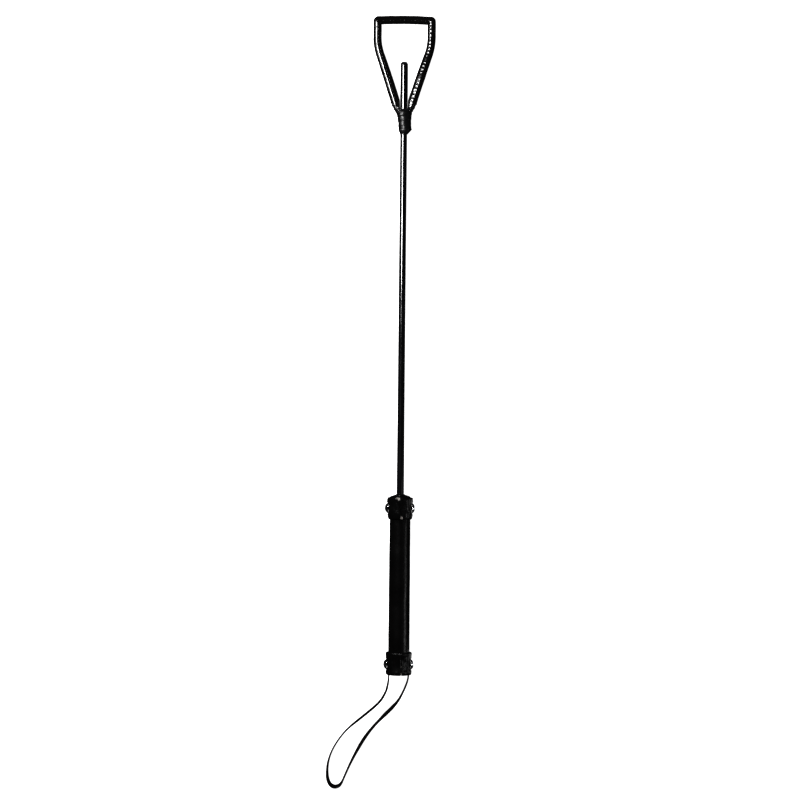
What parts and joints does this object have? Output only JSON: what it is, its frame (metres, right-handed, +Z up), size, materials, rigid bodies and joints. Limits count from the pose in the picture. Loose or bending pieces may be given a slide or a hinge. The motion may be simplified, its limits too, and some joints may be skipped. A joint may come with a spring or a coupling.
{
  "type": "riding crop",
  "caption": "Riding crop: slim glossy shaft, leather grip with riveted collars, wrist strap and an open stirrup-shaped loop head in rolled leather.",
  "frame": {"origin": "on the table, under the middle of the crop without its wrist strap", "axes": "lying flat on a table: +Y along the crop from the butt towards the loop head, +X to the right of the loop, +Z up"},
  "size_m": [0.0949, 0.7157, 0.0268],
  "materials": {
    "core_rod": "pultruded fibreglass, hidden",
    "shaft_gloss": "deep black lacquered sleeve, high gloss",
    "tip_gloss": "black, polished",
    "spring_wire": "bright spring wire, hidden",
    "padding_cord": "soft cotton cord, hidden",
    "rolled_leather": "black leather rolled into a tube, polished on the outside",
    "thread": "waxed black thread",
    "lashing_thread": "waxed black thread, wound tight",
    "wrap_gloss": "black glossy tape",
    "core_wood": "turned beech, hidden",
    "grip_leather": "black smooth leather, satin",
    "cap_leather": "black leather, burnished edge",
    "collar_leather": "thick black leather band, slightly lumpy",
    "nail_chrome": "bright domed heads",
    "strap_leather": "thin black strap with burnished edges"
  },
  "bodies": {
    "crop": {"shaft_core": "core_rod", "shaft_sleeve": "shaft_gloss", "tip_cap": "tip_gloss", "head_wire": "spring_wire", "head_padding": "padding_cord", "head_cover": "rolled_leather", "head_stitching": "thread", "neck_lashing": "lashing_thread", "neck_wrap": "wrap_gloss", "grip_core": "core_wood", "grip_cover": "grip_leather", "upper_end_cap": "cap_leather", "butt_disc": "cap_leather", "lower_collar": "collar_leather", "upper_collar": "collar_leather", "lower_nail_left": "nail_chrome", "lower_nail_right": "nail_chrome", "upper_nail_left": "nail_chrome", "upper_nail_right": "nail_chrome", "strap_tail_left": "strap_leather", "strap_tail_right": "strap_leather"},
    "strap_links": {"strap_link_left": "strap_leather", "strap_link_right": "strap_leather"},
    "strap_loop": {"wrist_loop": "strap_leather"}
  },
  "joints": [
    {"name": "wrist_strap_lift", "type": "hinge", "parent": "crop", "child": "strap_links", "pos_m": [0, -0.3102, 0.01486], "axis": [1, 0, 0], "range_deg": [-70, 70]},
    {"name": "wrist_strap_sway", "type": "hinge", "parent": "strap_links", "child": "strap_loop", "pos_m": [-0.0034, -0.3212, 0.0145], "axis": [0, 0, 1], "range_deg": [-25, 25]}
  ]
}
